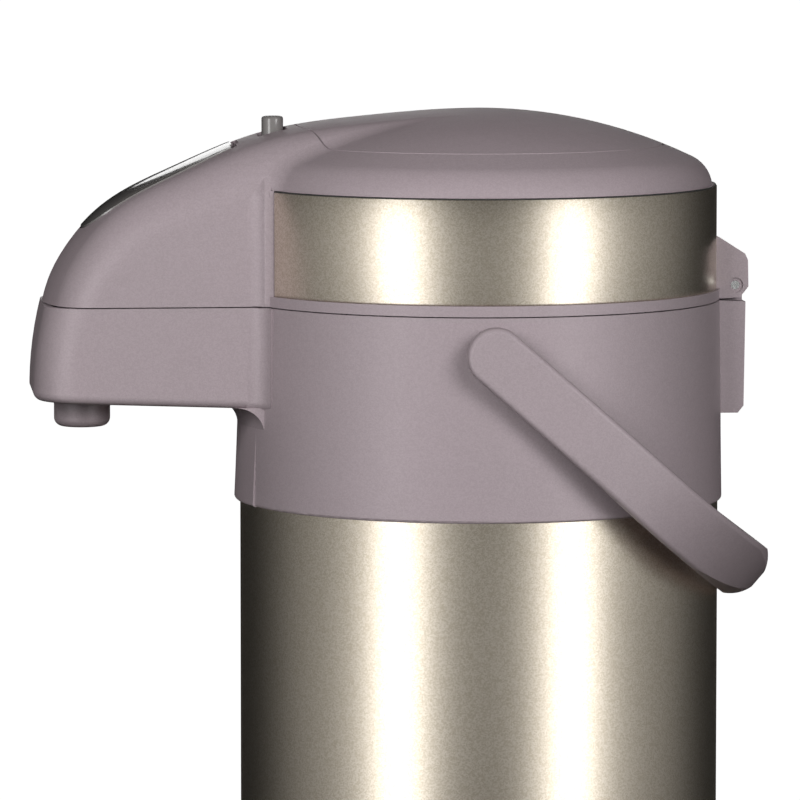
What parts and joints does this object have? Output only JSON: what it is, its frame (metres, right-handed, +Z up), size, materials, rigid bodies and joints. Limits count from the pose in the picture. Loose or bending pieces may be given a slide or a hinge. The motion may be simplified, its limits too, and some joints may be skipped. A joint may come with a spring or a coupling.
{
  "type": "electric thermo pot",
  "caption": "Cylindrical steel electric thermo pot with a push-plate air pump in a hinged lid, a forward spout, a sliding lock and a swinging bail handle.",
  "frame": {"origin": "centre of the rest plane, on the axis of the round body", "axes": "+Z up along the body's axis, -Y towards the spout, +Y towards the lid hinge, X along the bail's pivots"},
  "size_m": [0.1876, 0.2555, 0.33],
  "materials": {
    "textured_plastic": "mauve grey, fine texture, satin",
    "satin_steel": "champagne steel, satin with a fine sparkle",
    "plain_steel": "bright drawn stainless steel",
    "gloss_grey": "glossy grey",
    "white_plastic": "off-white moulding",
    "dark_plastic": "black moulding",
    "heater_metal": "cast aluminium",
    "sheet_metal": "pressed sheet",
    "brass": "plated brass",
    "screw_steel": "zinc plated",
    "silicone": "translucent silicone",
    "black_rubber": "soft black rubber",
    "felt": "needled insulation felt",
    "wire_sleeve": "silicone sleeved wire"
  },
  "bodies": {
    "pot": {"base_housing": "textured_plastic", "base_plate": "textured_plastic", "base_screws": "screw_steel", "rubber_feet": "black_rubber", "power_inlet": "dark_plastic", "inlet_pins": "brass", "terminal_block": "white_plastic", "heater_leads": "wire_sleeve", "supply_leads": "wire_sleeve", "outer_shell": "satin_steel", "inner_vessel": "plain_steel", "vessel_support": "white_plastic", "insulation_wrap": "felt", "vessel_gasket": "silicone", "heater_plate": "heater_metal", "heat_shield": "sheet_metal", "shield_nuts": "screw_steel", "thermal_fuse": "white_plastic", "thermostats": "heater_metal", "band_heater": "heater_metal", "outlet_hose": "silicone", "delivery_tube": "plain_steel", "nozzle": "textured_plastic", "collar_housing": "textured_plastic", "mouth_ring": "white_plastic", "mouth_screws": "screw_steel", "tie_rods": "screw_steel", "hinge_pin": "screw_steel"},
    "lid": {"lid_frame": "textured_plastic", "lid_band": "satin_steel", "inner_lid": "white_plastic", "lid_screws": "screw_steel", "lid_seal": "silicone", "air_valve": "silicone", "bellows": "silicone", "return_spring": "plain_steel", "lever_pin": "screw_steel"},
    "push_plate": {"push_plate": "textured_plastic", "presser": "white_plastic"},
    "release_lever": {"release_lever": "gloss_grey"},
    "lock_slider": {"lock_slider": "gloss_grey"},
    "bail_handle": {"bail_handle": "textured_plastic"}
  },
  "joints": [
    {"name": "lid_hinge", "type": "hinge", "parent": "pot", "child": "lid", "pos_m": [0, 0.0879, 0.269], "axis": [-1, 0, 0], "range_deg": [0, 95]},
    {"name": "plate_stroke", "type": "slide", "parent": "lid", "child": "push_plate", "axis": [0, 0, -1], "range_m": [0, 0.022], "stiffness_N_per_m": 700, "springref_m": -0.01, "deforming": ["bellows", "return_spring"]},
    {"name": "lever_lift", "type": "hinge", "parent": "lid", "child": "release_lever", "pos_m": [0, -0.088, 0.3105], "axis": [-1, 0, 0], "range_deg": [0, 12], "stiffness_Nm_per_rad": 0.6, "springref_deg": -8.59},
    {"name": "lock_slide", "type": "slide", "parent": "lid", "child": "lock_slider", "axis": [1, 0, 0], "range_m": [-0.005, 0.005]},
    {"name": "bail_swing", "type": "hinge", "parent": "pot", "child": "bail_handle", "pos_m": [0, 0, 0.2478], "axis": [1, 0, 0], "range_deg": [0, 180]}
  ]
}
